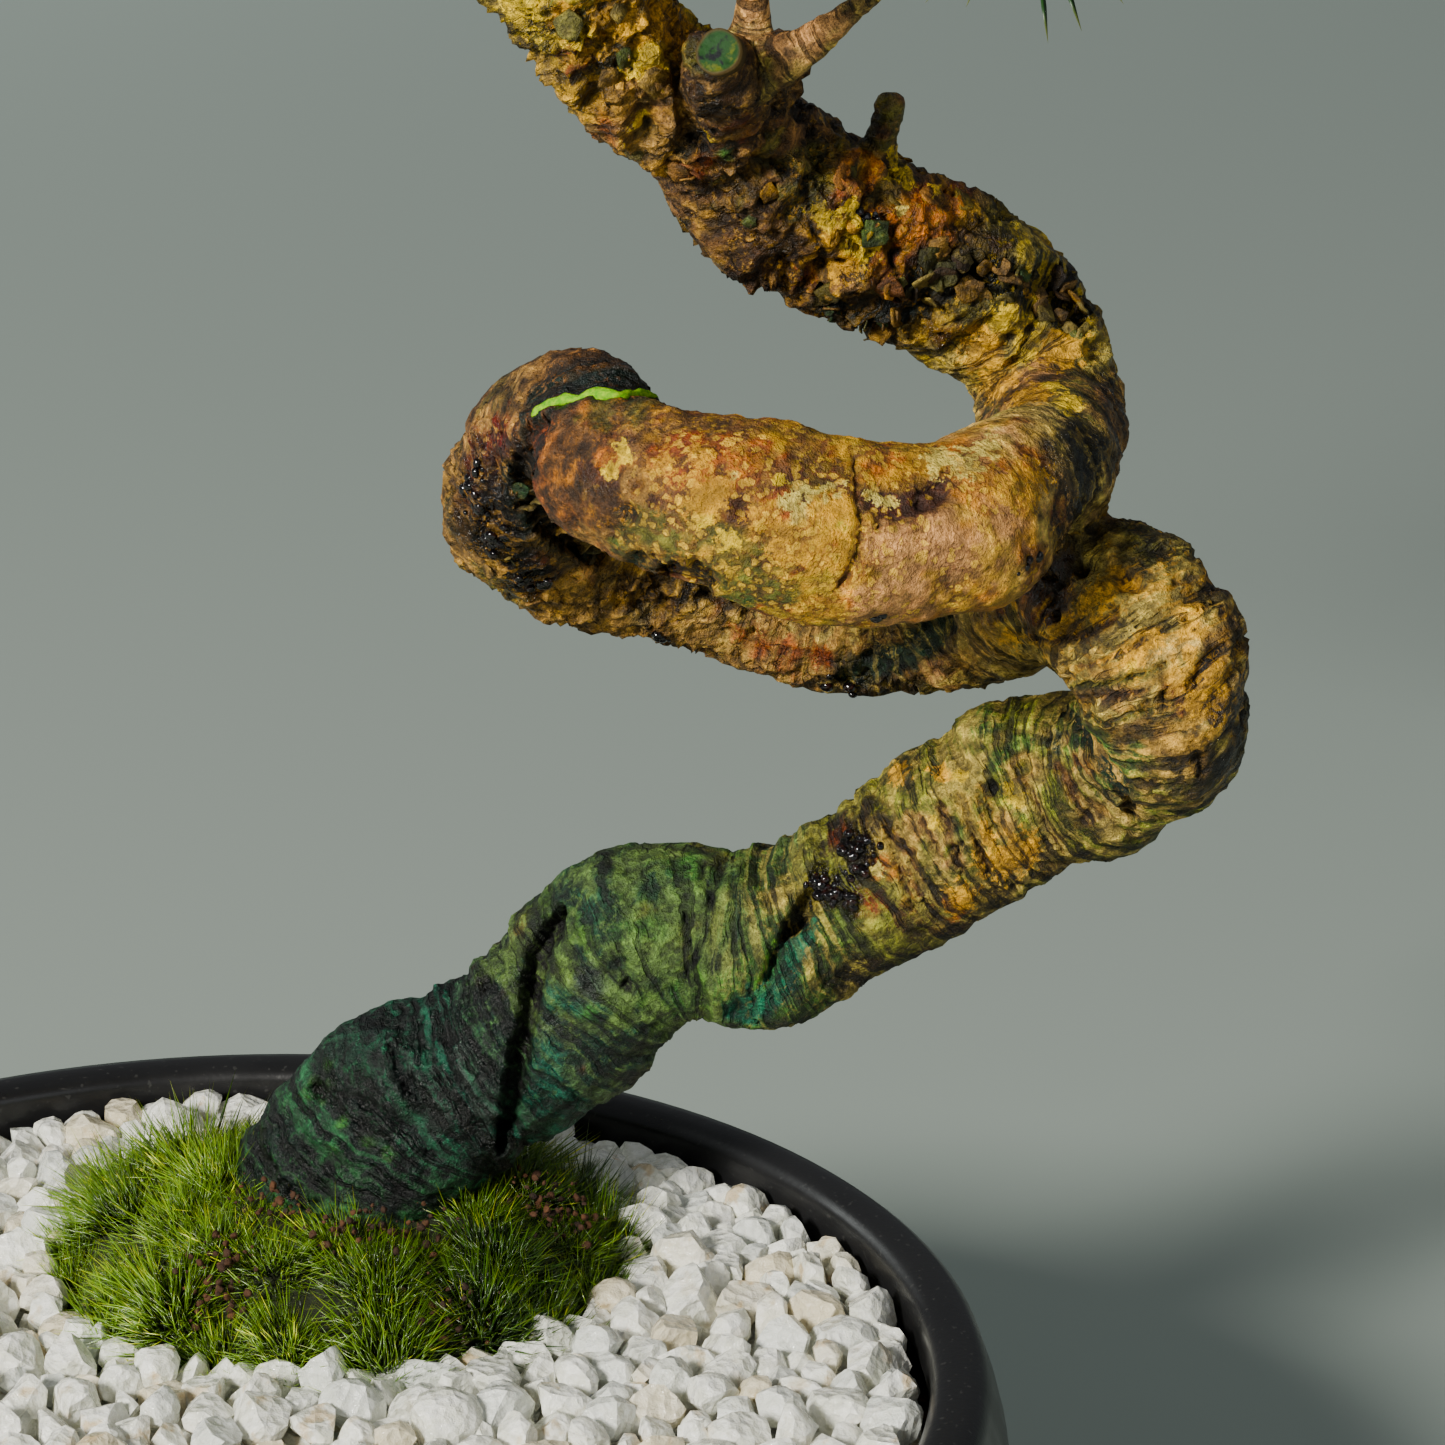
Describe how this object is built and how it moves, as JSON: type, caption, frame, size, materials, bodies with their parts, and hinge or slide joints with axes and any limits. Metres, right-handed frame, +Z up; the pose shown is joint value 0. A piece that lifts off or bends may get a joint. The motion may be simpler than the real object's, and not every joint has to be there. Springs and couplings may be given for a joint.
{
  "type": "potted japanese black pine bonsai",
  "caption": "Pine bonsai with a coiled trunk and needle pads, rooted in soil under white gravel and a moss mound, in a low round black pot.",
  "frame": {"origin": "centre of the pot's flat base, on the surface it stands on", "axes": "+Z up the tree, -Y towards the viewer, +X to the viewer's right"},
  "size_m": [0.2847, 0.2175, 0.4303],
  "materials": {
    "pot": "satin black glaze",
    "net": "matte moulded net",
    "soil": "damp crumbly soil",
    "gravel": "broken white quartz",
    "moss": "fine green moss",
    "bark": "wrinkled scaly bark",
    "needles": "waxy green needles"
  },
  "bodies": {
    "root": {"pot": "pot", "drain_net_1": "net", "drain_net_2": "net", "drain_net_3": "net", "soil": "soil", "gravel": "gravel", "moss_mound": "moss", "trunk": "bark", "foliage_left": "needles", "foliage_right": "needles", "foliage_back": "needles", "foliage_front": "needles", "foliage_upper_right": "needles", "foliage_upper_left": "needles", "foliage_crown": "needles", "foliage_small_twig": "needles", "foliage_thin_twig": "needles"}
  },
  "joints": []
}
